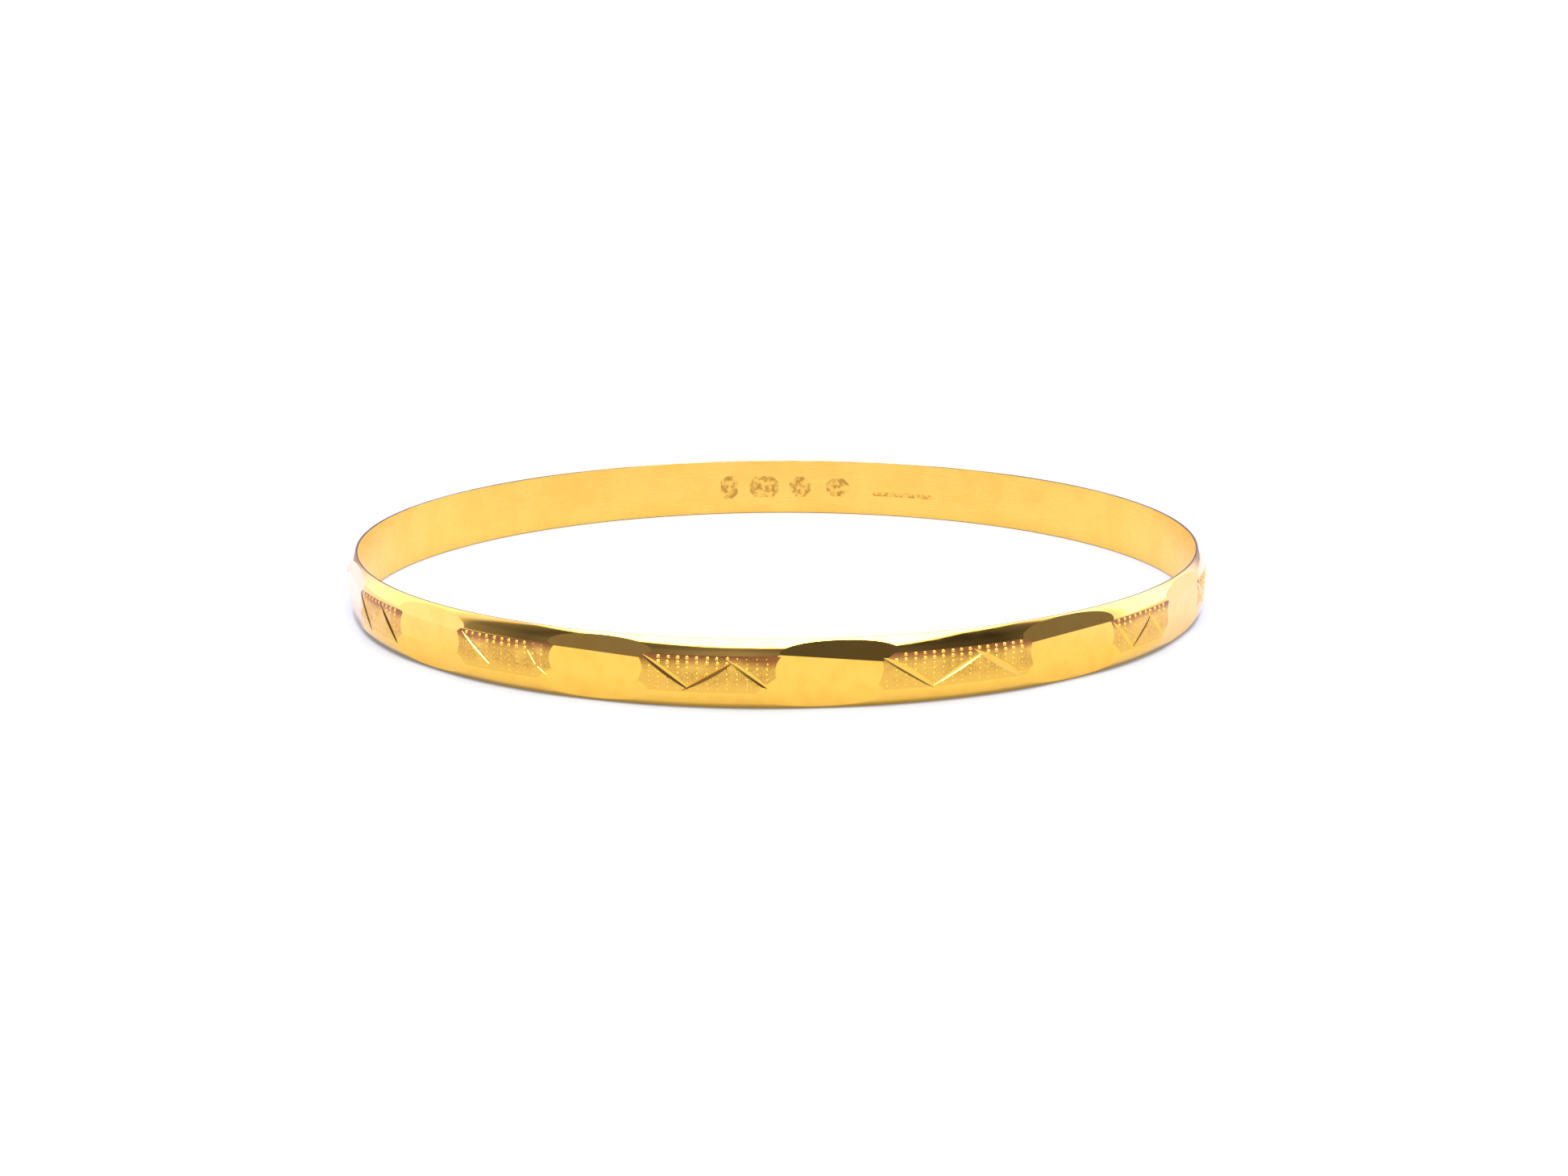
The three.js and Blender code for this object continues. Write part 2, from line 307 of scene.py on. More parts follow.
def dome_radius(z):
    """Radius of the outer face at height z."""
    slope = np.abs(dome_slope(z))
    belt = belt_slope()
    on_belt = BELT_RADIUS * (1 - np.cos(np.minimum(slope, belt)))
    on_shoulder = shoulder_radius() * (math.cos(belt) - np.cos(np.maximum(slope, belt)))
    return OUTER_RADIUS - on_belt - on_shoulder


def ground_depth(z):
    """How far the beaded ground lies below the dome: it runs out softly at the lower edge."""
    share = np.clip((z - BEADED_BOTTOM) / GROUND_FADE, 0, 1)
    return GROUND_DEPTH * share * share * (3 - 2 * share)


def edge_centres():
    """Centres of the two rounds at the top edge, as (radius, height)."""
    slope = shoulder_end_slope()
    height = BELT_HALF_HEIGHT + shoulder_radius() * (math.sin(slope) - math.sin(belt_slope()))
    outer = (float(dome_radius(height)) - OUTER_ROUND * math.cos(slope), HALF_HEIGHT - OUTER_ROUND)
    inner = (INNER_RADIUS + INNER_ROUND, HALF_HEIGHT - INNER_ROUND)
    return inner, outer


def arc(centre, radius, start, end, steps):
    angles = np.linspace(start, end, steps + 1)
    return [(centre[0] + radius * math.cos(a), centre[1] + radius * math.sin(a)) for a in angles]


def section():
    """The closed section as (radius, height, kind of the strip that follows)."""
    inner, outer = edge_centres()
    end_slope = shoulder_end_slope()
    end_height = outer[1] + OUTER_ROUND * math.sin(end_slope)
    rim = arc(inner, INNER_ROUND, math.pi, math.pi / 2, ROUND_ROWS)
    edge = arc(outer, OUTER_ROUND, math.pi / 2, end_slope, ROUND_ROWS)
    heights = np.linspace(end_height, BEADED_TOP, SHOULDER_ROWS + 1)[1:]
    upper = [(float(dome_radius(z)), float(z)) for z in heights]
    belt_heights = np.linspace(BEADED_TOP - GROUND_STEP, BEADED_BOTTOM, BELT_ROWS + 2)[:-1]
    belt = [(float(dome_radius(z) - ground_depth(z)), float(z)) for z in belt_heights]
    heights = np.linspace(BEADED_BOTTOM, -end_height, SHOULDER_ROWS + 1)[:-1]
    lower = [(float(dome_radius(z)), float(z)) for z in heights]
    inside = [(INNER_RADIUS, z) for z in np.linspace(-inner[1], inner[1], INSIDE_ROWS + 1)[1:-1]]
    rows = [(r, z, RIM) for r, z in rim]
    rows += [(r, z, EDGE) for r, z in edge[:-1]] + [(*edge[-1], POLISHED)]
    rows += [(r, z, POLISHED) for r, z in upper[:-1]] + [(*upper[-1], STEP)]
    rows += [(r, z, GROUND) for r, z in belt]
    rows += [(r, z, POLISHED) for r, z in lower]
    rows += [(r, -z, EDGE) for r, z in edge[:0:-1]] + [(edge[0][0], -edge[0][1], RIM)]
    rows += [(r, -z, RIM) for r, z in rim[:0:-1]] + [(rim[0][0], -rim[0][1], INSIDE)]
    rows += [(r, z, INSIDE) for r, z in inside]
    return rows


def make_mesh(name, vertices, faces, kinds):
    """A mesh whose faces have their kind of surface as material index."""
    mesh = bpy.data.meshes.new(name)
    mesh.from_pydata([tuple(v) for v in vertices], [], faces)
    for _ in KINDS:
        mesh.materials.append(None)
    mesh.polygons.foreach_set("material_index", np.asarray(kinds, dtype=np.int32))
    return mesh


def plain_ring():
    """The section swept round the axis, before anything is added or cut."""
    rows = section()
    count = len(rows)
    vertices = []
    for column in range(RING_COLUMNS):
        angle = 2 * math.pi * column / RING_COLUMNS
        vertices += [(r * math.sin(angle), -r * math.cos(angle), z) for r, z, _ in rows]
    faces = []
    kinds = []
    for column in range(RING_COLUMNS):
        here = column * count
        there = (column + 1) % RING_COLUMNS * count
        for row in range(count):
            following = (row + 1) % count
            faces.append((here + row, here + following, there + following, there + row))
            kinds.append(rows[row][2])
    return make_mesh("ring", vertices, faces, kinds)


def box_tools(matrices, kind):
    """One mesh of boxes, each a unit cube put through its matrix."""
    vertices = []
    faces = []
    for index, matrix in enumerate(matrices):
        vertices += [matrix @ Vector(corner) for corner in BOX_CORNERS]
        faces += [tuple(index * len(BOX_CORNERS) + i for i in face) for face in BOX_FACES]
    return make_mesh("tools", vertices, faces, [kind] * len(faces))


def turn(degrees, axis):
    return Matrix.Rotation(math.radians(degrees), 4, axis)


def shift(x, y, z):
    return Matrix.Translation((x, y, z))


def stop_azimuth(index):
    return FIRST_STOP + index * 360 / STOPS + FLATS[index][0]


def flat_matrix(index, ridge, lean):
    """A box whose face makes one flat of the given stop."""
    _, depth, skew = FLATS[index]
    out = ridge - MIDDLE_FLAT_HEIGHT
    radius = OUTER_RADIUS - depth - out * math.tan(math.radians(MIDDLE_LEAN))
    box = shift(0, -TOOL_SIZE / 2, 0) @ Matrix.Diagonal((TOOL_SIZE, TOOL_SIZE, TOOL_SIZE, 1))
    placed = shift(0, -radius, out) @ turn(-lean, "X") @ box
    return turn(stop_azimuth(index), "Z") @ shift(0, 0, MIDDLE_FLAT_HEIGHT) @ turn(skew, "Y") @ placed


def flat_matrices():
    """All boxes that make flats, in the order of the stops."""
    return [flat_matrix(index, ridge, lean) for index in range(STOPS) for ridge, lean in RIDGES]


def flat_end(index, side):
    """Azimuth where the middle flat runs out into the panel."""
    cut = FLATS[index][1] - GROUND_DEPTH
    return stop_azimuth(index) + side * math.degrees(math.acos(1 - cut / OUTER_RADIUS))


def panel(index):
    """Azimuth where a beaded panel begins, and its width, in degrees."""
    start = flat_end(index, 1)
    following = (index + 1) % STOPS
    end = flat_end(following, -1) + (360 if following == 0 else 0)
    return start, end - start


def stroke_tool(index, number):
    """A three-sided prism whose lowest edge makes one V-cut stroke, as its corners."""
    (along_1, height_1), (along_2, height_2), end_depth = OWN_STROKES.get(index, STROKES)[number]
    start, width = panel(index)
    run = (along_2 - along_1) * math.radians(width) * OUTER_RADIUS
    rise = height_2 - height_1
    sag = (run * run / OUTER_RADIUS + rise * rise / BELT_RADIUS) / 8
    depth = sag + end_depth
    height = (height_1 + height_2) / 2
    surface = float(dome_radius(height) - ground_depth(height))
    upper, lower = (1 / math.tan(math.radians(tilt)) for tilt in STROKE_WALLS[index][number])
    middle = (lower - upper) * depth / 2
    across = turn(-math.degrees(math.atan2(rise, run)), "Y")
    placed = shift(0, depth - surface, height) @ across @ shift(0, 0, middle)
    matrix = turn(start + (along_1 + along_2) / 2 * width, "Z") @ placed
    tall = STROKE_TOOL_HEIGHT
    half_length = STROKE_OVERRUN * math.hypot(run, rise) / 2
    ends = (-half_length, half_length)
    corners = [(x, y, z) for x in ends for y, z in ((0, 0), (-tall, tall * upper), (-tall, -tall * lower))]
    return [matrix @ Vector(corner) for corner in corners]


def stroke_tools(number):
    """The tools for one stroke of the zigzag in all panels."""
    vertices = []
    faces = []
    for index in range(STOPS):
        faces += [tuple(len(vertices) + i for i in face) for face in PRISM_FACES]
        vertices += stroke_tool(index, number)
    return make_mesh("strokes", vertices, faces, [STROKE] * len(faces))


def turn_between(azimuth, other):
    """The turn from one azimuth to another, from -180 to 180 degrees."""
    return (azimuth - other + 180) % 360 - 180


def is_worn(azimuth, z):
    """True where wear has almost flattened the beads."""
    for centre, height, half_width, half_height in WORN_PATCHES:
        if math.hypot(turn_between(azimuth, centre) / half_width, (z - height) / half_height) < 1:
            return True
    return False


def clipped_by_flat(boxes, azimuth, z, size):
    """True where one of the boxes that make flats would clip this bead."""
    foot, out, _, _ = bead_points(azimuth, z)
    apex = foot + out * BEAD_HEIGHT * size
    for box in boxes:
        inside = box @ apex
        if inside.y < 0.5 + BEAD_CLEARANCE / TOOL_SIZE and max(abs(inside.x), abs(inside.z)) < 0.5:
            return True
    return False


def bead_places(rng):
    """Centres of the beads on the ground, as (azimuth, height, size)."""
    boxes = [matrix.inverted() for matrix in flat_matrices()]
    places = []
    for column in range(BEAD_COLUMNS):
        for row, row_size in enumerate(BEAD_ROW_SIZES):
            stray = rng.uniform(-BEAD_STRAY_ALONG, BEAD_STRAY_ALONG)
            azimuth = 360 * (column + stray) / BEAD_COLUMNS
            z = BEAD_TOP_ROW - row * BEAD_ROW_PITCH + rng.uniform(-BEAD_STRAY_UP, BEAD_STRAY_UP)
            size = row_size * rng.uniform(*BEAD_SIZE_SPREAD)
            if is_worn(azimuth, z):
                size = WORN_SIZE * rng.uniform(*WORN_SIZE_SPREAD)
            if not clipped_by_flat(boxes, azimuth, z, size):
                places.append((azimuth, z, size))
    return places


def bead_points(azimuth, z):
    """Frame of one bead: the foot point, the way out, and two directions along the ground."""
    a = math.radians(azimuth)
    slope = float(dome_slope(z))
    radius = float(dome_radius(z) - ground_depth(z))
    out = Vector((math.sin(a) * math.cos(slope), -math.cos(a) * math.cos(slope), math.sin(slope)))
    side = Vector((math.cos(a), math.sin(a), 0))
    foot = Vector((radius * math.sin(a), -radius * math.cos(a), z))
    return foot, out, side, out.cross(side)


def bead_sphere_radius():
    return (BEAD_BASE_RADIUS ** 2 + BEAD_HEIGHT ** 2) / (2 * BEAD_HEIGHT)


def make_beads(places):
    """Small domes with a root below the ground, and the centre of the sphere that each is part of."""
    sphere = bead_sphere_radius()
    half_angle = math.asin(BEAD_BASE_RADIUS / sphere)
    rings = [
        (sphere * math.sin(half_angle * k / BEAD_RINGS), sphere * (math.cos(half_angle * k / BEAD_RINGS) - 1))
        for k in range(1, BEAD_RINGS + 1)
    ]
    rings.append((BEAD_BASE_RADIUS, -BEAD_HEIGHT - BEAD_ROOT))
    vertices = []
    faces = []
    centres = []
    for place in places:
        azimuth, z, size = place
        foot, out, side, up = bead_points(azimuth, z)
        apex = foot + out * BEAD_HEIGHT * size
        centres.append(foot + out * (BEAD_HEIGHT - sphere) * size)
        first = len(vertices)
        vertices.append(apex)
        for radius, drop in rings:
            for k in range(BEAD_SIDES):
                a = 2 * math.pi * k / BEAD_SIDES
                round_the_foot = side * math.cos(a) + up * math.sin(a)
                vertices.append(apex + (round_the_foot * radius + out * drop) * size)
        last_ring = first + 1 + (len(rings) - 1) * BEAD_SIDES
        for k in range(BEAD_SIDES):
            n = (k + 1) % BEAD_SIDES
            faces.append((first, first + 1 + k, first + 1 + n))
            for ring in range(len(rings) - 1):
                a = first + 1 + ring * BEAD_SIDES
                b = a + BEAD_SIDES
                faces.append((a + k, b + k, b + n, a + n))
        faces.append(tuple(last_ring + k for k in reversed(range(BEAD_SIDES))))
    return make_mesh("beads", vertices, faces, [BEAD] * len(faces)), centres


def stamp_tools():
    """Shallow eight-sided recesses inside the ring."""
    vertices = []
    faces = []
    for azimuth, middle, width, tall, cut in STAMPS:
        matrix = turn(azimuth, "Z") @ shift(0, -INNER_RADIUS, middle)
        w, h = width / 2, tall / 2
        corners = [(-w, cut - h), (cut - w, -h), (w - cut, -h), (w, cut - h)]
        corners += [(-x, -z) for x, z in corners]
        first = len(vertices)
        sides = len(corners)
        depths = (STAMP_REACH, -STAMP_DEPTH)
        vertices += [matrix @ Vector((x, y, z)) for y in depths for x, z in corners]
        faces.append(tuple(first + k for k in reversed(range(sides))))
        faces.append(tuple(first + sides + k for k in range(sides)))
        for k in range(sides):
            n = (k + 1) % sides
            faces.append((first + k, first + n, first + sides + n, first + sides + k))
    return make_mesh("stamps", vertices, faces, [STAMP] * len(faces))


def helper_object(mesh):
    """A passing object that only serves a modifier."""
    helper = bpy.data.objects.new("helper", mesh)
    bpy.context.collection.objects.link(helper)
    return helper


def modified(helper):
    """The mesh of a helper with its modifier applied. The helper is removed."""
    evaluated = helper.evaluated_get(bpy.context.evaluated_depsgraph_get())
    result = bpy.data.meshes.new_from_object(evaluated)
    bpy.data.objects.remove(helper)
    return result


def combine(mesh, tool, operation):
    """Boolean of two closed meshes, as a new mesh."""
    target = helper_object(mesh)
    other = helper_object(tool)
    modifier = target.modifiers.new("boolean", "BOOLEAN")
    modifier.object = other
    modifier.operation = operation
    modifier.solver = "MANIFOLD"
    result = modified(target)
    bpy.data.objects.remove(other)
    return result


def weld(mesh):
    """The mesh with points that lie on one another merged, which takes away slivers of no area."""
    target = helper_object(mesh)
    modifier = target.modifiers.new("weld", "WELD")
    modifier.merge_threshold = WELD_DISTANCE
    return modified(target)


def decorated_ring(beads):
    """The ring with its beads, flats, strokes and stamps, before it is parted at the seam."""
    ring = combine(plain_ring(), beads, "UNION")
    for ridge, lean in RIDGES:
        tools = box_tools([flat_matrix(index, ridge, lean) for index in range(STOPS)], FLAT)
        ring = combine(ring, tools, "DIFFERENCE")
    for number in range(len(STROKES)):
        ring = combine(ring, stroke_tools(number), "DIFFERENCE")
    return combine(ring, stamp_tools(), "DIFFERENCE")


def seam_slab():
    """A slab across the band where the solder is."""
    place = turn(stop_azimuth(SEAM_STOP), "Z") @ shift(0, -OUTER_RADIUS, 0)
    slab = place @ Matrix.Diagonal((SOLDER_THICKNESS, TOOL_SIZE, TOOL_SIZE, 1))
    return box_tools([slab], FLAT)


def values_of(items, name, number_type, width=1):
    """One property of all of a mesh's items, as an array."""
    values = np.zeros(len(items) * width, number_type)
    items.foreach_get(name, values)
    return values.reshape(-1, width).squeeze()


def surface_normals(mesh, bead_centres):
    """Normals of the true surfaces at every face corner: dome, edges and beads are round, cuts are flat."""
    sizes = values_of(mesh.polygons, "loop_total", np.int32)
    kind = np.repeat(values_of(mesh.polygons, "material_index", np.int32), sizes)
    normals = np.repeat(values_of(mesh.polygons, "normal", float, 3), sizes, axis=0)
    corners = values_of(mesh.loops, "vertex_index", np.int32)
    where = values_of(mesh.vertices, "co", float, 3)[corners]
    radius = np.hypot(where[:, 0], where[:, 1])
    z = where[:, 2]
    slope = dome_slope(z)
    smooth = {
        INSIDE: (-np.ones(len(z)), np.zeros(len(z))),
        POLISHED: (np.cos(slope), np.sin(slope)),
        GROUND: (np.cos(slope), np.sin(slope)),
        EDGE: edge_normals(radius, z),
        RIM: edge_normals(radius, z),
    }
    for which, (outward, upward) in smooth.items():
        chosen = kind == which
        share = (outward / radius)[chosen, None]
        normals[chosen, :2] = where[chosen, :2] * share
        normals[chosen, 2] = upward[chosen]
    on_beads = where[kind == BEAD]
    normals[kind == BEAD] = on_beads - nearest_centres(on_beads, bead_centres)
    return normals / np.linalg.norm(normals, axis=1)[:, None]


def nearest_centres(points, bead_centres):
    """Centre of the bead that each of the points lies on."""
    tree = kdtree.KDTree(len(bead_centres))
    for index, centre in enumerate(bead_centres):
        tree.insert(centre, index)
    tree.balance()
    nearest = [tree.find(point)[0] for point in points]
    return np.array(nearest).reshape(-1, 3)


def edge_normals(radius, z):
    """Outward and upward share of the normal on the rounded edges and the flat between them."""
    inner, outer = edge_centres()
    side = np.sign(z)
    outward = np.where(radius < inner[0], radius - inner[0], np.maximum(radius - outer[0], 0))
    reach = np.where(radius < inner[0], INNER_ROUND, OUTER_ROUND)
    outward = np.clip(outward / reach, -1, 1)
    return outward, side * np.sqrt(1 - outward ** 2)


def make_piece(mesh, bead_centres, name, materials):
    """A finished piece of the ring, scaled to metres."""
    mesh = weld(mesh)
    normals = surface_normals(mesh, bead_centres)
    mesh.transform(Matrix.Scale(MM, 4))
    mesh.shade_smooth()
    mesh.normals_split_custom_set(normals.tolist())
    for kind, material in enumerate(materials):
        mesh.materials[kind] = material
    piece = bpy.data.objects.new(name, mesh)
    bpy.context.collection.objects.link(piece)
    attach(piece, "root")
    return piece


class Nodes:
    """Small helper that adds shader nodes and links them."""

    def __init__(self, tree):
        self.tree = tree
        self.tree.nodes.clear()

    def add(self, kind, **settings):
        node = self.tree.nodes.new(kind)
        for key, value in settings.items():
            setattr(node, key, value)
        return node

    def put(self, socket, value):
        if isinstance(value, bpy.types.NodeSocket):
            self.tree.links.new(value, socket)
        else:
            socket.default_value = value

    def math(self, operation, first, second=None, third=None):
        node = self.add("ShaderNodeMath", operation=operation)
        for socket, value in zip(node.inputs, (first, second, third)):
            if value is not None:
                self.put(socket, value)
        return node.outputs[0]

    def step(self, value, low, high, start=0.0, end=1.0):
        """Smooth change from start to end while value goes from low to high."""
        node = self.add("ShaderNodeMapRange", interpolation_type="SMOOTHSTEP")
        for socket, given in zip(node.inputs, (value, low, high, start, end)):
            self.put(socket, given)
        return node.outputs[0]

    def ramp(self, value, stops):
        node = self.add("ShaderNodeValToRGB")
        self.put(node.inputs[0], value)
        elements = node.color_ramp.elements
        for position, _ in stops[2:]:
            elements.new(position)
        for element, (position, colour) in zip(elements, stops):
            element.position = position
            element.color = (*colour, 1) if isinstance(colour, tuple) else (colour, colour, colour, 1)
        return node.outputs[0]

    def mix(self, factor, first, second, blend="MIX"):
        node = self.add("ShaderNodeMix", data_type="RGBA", blend_type=blend)
        self.put(node.inputs[0], factor)
        self.put(node.inputs[6], (*first, 1) if isinstance(first, tuple) else first)
        self.put(node.inputs[7], (*second, 1) if isinstance(second, tuple) else second)
        return node.outputs[2]

    def noise(self, vector, scale, detail=2.0, roughness=0.5):
        node = self.add("ShaderNodeTexNoise")
        self.put(node.inputs["Vector"], vector)
        self.put(node.inputs["Scale"], scale)
        self.put(node.inputs["Detail"], detail)
        self.put(node.inputs["Roughness"], roughness)
        return node.outputs["Fac"]

    def bump(self, height, strength, distance):
        node = self.add("ShaderNodeBump")
        self.put(node.inputs["Strength"], strength)
        self.put(node.inputs["Distance"], distance)
        self.put(node.inputs["Height"], height)
        return node.outputs["Normal"]

    def place(self):
        """The point on the ring in millimetres."""
        coordinates = self.add("ShaderNodeTexCoord").outputs["Object"]
        node = self.add("ShaderNodeVectorMath", operation="SCALE")
        self.put(node.inputs[0], coordinates)
        self.put(node.inputs["Scale"], 1 / MM)
        return node.outputs[0]

    def split(self, vector):
        """The X, Y and Z of a vector."""
        node = self.add("ShaderNodeSeparateXYZ")
        self.put(node.inputs[0], vector)
        return node.outputs

    def unrolled(self, point, stretch):
        """The point with the way round the ring as X, divided by stretch, and the height as Y."""
        x, y, z = self.split(point)
        angle = self.math("ARCTAN2", x, y)
        joined = self.add("ShaderNodeCombineXYZ")
        self.put(joined.inputs[0], self.math("MULTIPLY", angle, OUTER_RADIUS / stretch))
        self.put(joined.inputs[1], z)
        return joined.outputs[0]


def new_material(name):
    """A new material, its node helper and its shader."""
    material = bpy.data.materials.new(name)
    material.use_nodes = True
    nodes = Nodes(material.node_tree)
    shader = nodes.add("ShaderNodeBsdfPrincipled")
    output = nodes.add("ShaderNodeOutputMaterial")
    nodes.tree.links.new(shader.outputs[0], output.inputs[0])
    return material, nodes, shader


def metal(name):
    """A new metallic material, its node helper and its shader."""
    material, nodes, shader = new_material(name)
    shader.inputs["Metallic"].default_value = 1.0
    return material, nodes, shader


def satin_gold():
    """Inside of the ring: buffed by hand, with fine lines running round it and a few deeper ones."""
    material, nodes, shader = metal("satin_gold")
    point = nodes.place()
    lines = nodes.noise(nodes.unrolled(point, stretch=30), scale=14.0, detail=3.0, roughness=0.6)
    clouds = nodes.noise(point, scale=0.35, detail=2.0)
    # painted light: the inside is painted paler than the outer gold
    colour = nodes.mix(nodes.step(clouds, 0.35, 0.65), INSIDE_GOLD_PAINTED_PALE, INSIDE_DEEP_PAINTED_PALE)
    nodes.put(shader.inputs["Base Color"], colour)
    nodes.put(shader.inputs["Roughness"], nodes.step(lines, 0.3, 0.7, *INSIDE_ROUGHNESS))
    nodes.put(shader.inputs["Normal"], nodes.bump(lines, strength=0.12, distance=0.004 * MM))
    return material


def stamp_gold():
    """Floor of the worn stamps: uneven and a little dirty."""
    material, nodes, shader = metal("stamp_gold")
    point = nodes.place()
    dirt = nodes.noise(point, scale=2.2, detail=3.0, roughness=0.6)
    # the stamp floor starts from the paler inside gold, which is painted light
    nodes.put(shader.inputs["Base Color"], nodes.mix(nodes.step(dirt, 0.4, 0.62), INSIDE_DEEP_PAINTED_PALE, STAMP_DIRT))
    nodes.put(shader.inputs["Roughness"], nodes.step(dirt, 0.3, 0.7, *STAMP_ROUGHNESS))
    nodes.put(shader.inputs["Normal"], nodes.bump(dirt, strength=0.6, distance=0.03 * MM))
    return material


def polished_gold():
    """Mirror-bright dome and edges, hazed a little by wear."""
    material, nodes, shader = metal("polished_gold")
    point = nodes.place()
    haze = nodes.noise(point, scale=1.1, detail=4.0, roughness=0.6)
    scratches = nodes.noise(nodes.unrolled(point, stretch=12), scale=22.0, detail=2.0, roughness=0.7)
    nodes.put(shader.inputs["Base Color"], nodes.mix(nodes.step(haze, 0.4, 0.7), GOLD, GOLD_DEEP))
    nodes.put(shader.inputs["Roughness"], nodes.step(haze, 0.35, 0.7, *DOME_ROUGHNESS))
    nodes.put(shader.inputs["Normal"], nodes.bump(scratches, strength=0.05, distance=0.004 * MM))
    return material


def bead_gold():
    """Beads: tops rubbed fairly bright by wear."""
    material, nodes, shader = metal("bead_gold")
    point = nodes.place()
    rub = nodes.noise(point, scale=5.0, detail=2.0)
    nodes.put(shader.inputs["Base Color"], nodes.mix(nodes.step(rub, 0.35, 0.65), GOLD, GOLD_DEEP))
    nodes.put(shader.inputs["Roughness"], nodes.step(rub, 0.3, 0.7, *BEAD_ROUGHNESS))
    nodes.put(shader.inputs["Normal"], nodes.bump(rub, strength=0.1, distance=0.01 * MM))
    return material


def ground_gold():
    """Ground between the beads: tooled matt, painted darker than the polished gold as painted shade between
    the beads, and darker red-brown in patches below the upper edge.
    """
    material, nodes, shader = metal("ground_gold")
    point = nodes.place()
    z = nodes.split(point)[2]
    grain = nodes.noise(point, scale=9.0, detail=3.0, roughness=0.6)
    patches = nodes.noise(nodes.unrolled(point, stretch=1.5), scale=0.45, detail=2.0)
    rubbed = nodes.step(nodes.noise(point, scale=0.5, detail=2.0), 0.4, 0.55, start=0.35)
    tooled = nodes.math("MULTIPLY", nodes.step(z, *GROUND_SOFT_EDGE), rubbed)
    dark = nodes.math("MULTIPLY", nodes.step(grain, 0.35, 0.7), tooled)
    # painted shade between the beads: the ground is painted darker than the polished gold
    matt = nodes.mix(dark, GROUND_SHADED_GOLD, GROUND_SHADED_DARK)
    height = nodes.math("MULTIPLY_ADD", patches, UPPER_GROUND_BROWN_REACH, z)
    # darker red-brown in patches towards the upper edge of the ground
    upper_brown = nodes.step(height, UPPER_GROUND_BROWN_LOW, UPPER_GROUND_BROWN_LOW + UPPER_GROUND_BROWN_REACH, end=UPPER_GROUND_BROWN_SHARE)
    nodes.put(shader.inputs["Base Color"], nodes.mix(upper_brown, matt, UPPER_GROUND_BROWN))
    rough = nodes.math("MULTIPLY", nodes.step(grain, 0.3, 0.7, *GROUND_ROUGHNESS), tooled)
    nodes.put(shader.inputs["Roughness"], nodes.math("MAXIMUM", rough, GROUND_LEAST_ROUGHNESS))
    pits = nodes.math("MULTIPLY", grain, tooled)
    nodes.put(shader.inputs["Normal"], nodes.bump(pits, strength=0.7, distance=0.03 * MM))
    return material


def rim_painted_shade():
    """Narrow rim between the outside and the inside: rubbed dull, its colour painted dark as painted shade
    and reflection, and varied by wear.
    """
    material, nodes, shader = metal("rim_painted_shade")
    point = nodes.place()
    wear = nodes.noise(nodes.unrolled(point, stretch=4), scale=1.2, detail=3.0, roughness=0.6)
    # painted shade: the rim's colour is painted dark, and wear varies it
    nodes.put(shader.inputs["Base Color"], nodes.mix(nodes.step(wear, 0.35, 0.65), RIM_SHADE_GOLD, RIM_SHADE_DARK))
    nodes.put(shader.inputs["Roughness"], nodes.step(wear, 0.3, 0.7, *RIM_ROUGHNESS))
    nodes.put(shader.inputs["Normal"], nodes.bump(wear, strength=0.1, distance=0.01 * MM))
    return material


def bright_cut_gold():
    """Facets and strokes left by a polished graver: a near mirror with faint tool lines."""
    material, nodes, shader = metal("bright_cut_gold")
    point = nodes.place()
    lines = nodes.noise(nodes.unrolled(point, stretch=1 / 6), scale=3.0, detail=2.0, roughness=0.5)
    haze = nodes.noise(point, scale=0.9, detail=3.0)
    nodes.put(shader.inputs["Base Color"], nodes.mix(nodes.step(haze, 0.4, 0.7), GOLD, GOLD_DEEP))
    nodes.put(shader.inputs["Roughness"], nodes.step(haze, 0.35, 0.7, *CUT_ROUGHNESS))
    nodes.put(shader.inputs["Normal"], nodes.bump(lines, strength=0.03, distance=0.003 * MM))
    return material


def solder_gold():
    """Solder of the closing seam, a little paler than the band."""
    material, nodes, shader = metal("solder_gold")
    point = nodes.place()
    haze = nodes.noise(point, scale=2.5, detail=3.0)
    nodes.put(shader.inputs["Base Color"], nodes.mix(nodes.step(haze, 0.4, 0.7), SOLDER, GOLD))
    nodes.put(shader.inputs["Roughness"], nodes.step(haze, 0.3, 0.7, *SOLDER_ROUGHNESS))
    nodes.put(shader.inputs["Normal"], nodes.bump(haze, strength=0.2, distance=0.006 * MM))
    return material


def band_materials():
    """Materials of the band in the order of the kinds of surface."""
    satin = satin_gold()
    dome = polished_gold()
    bright = bright_cut_gold()
    ground = ground_gold()
    return [satin, rim_painted_shade(), dome, dome, ground, ground, bead_gold(), bright, bright, stamp_gold()]


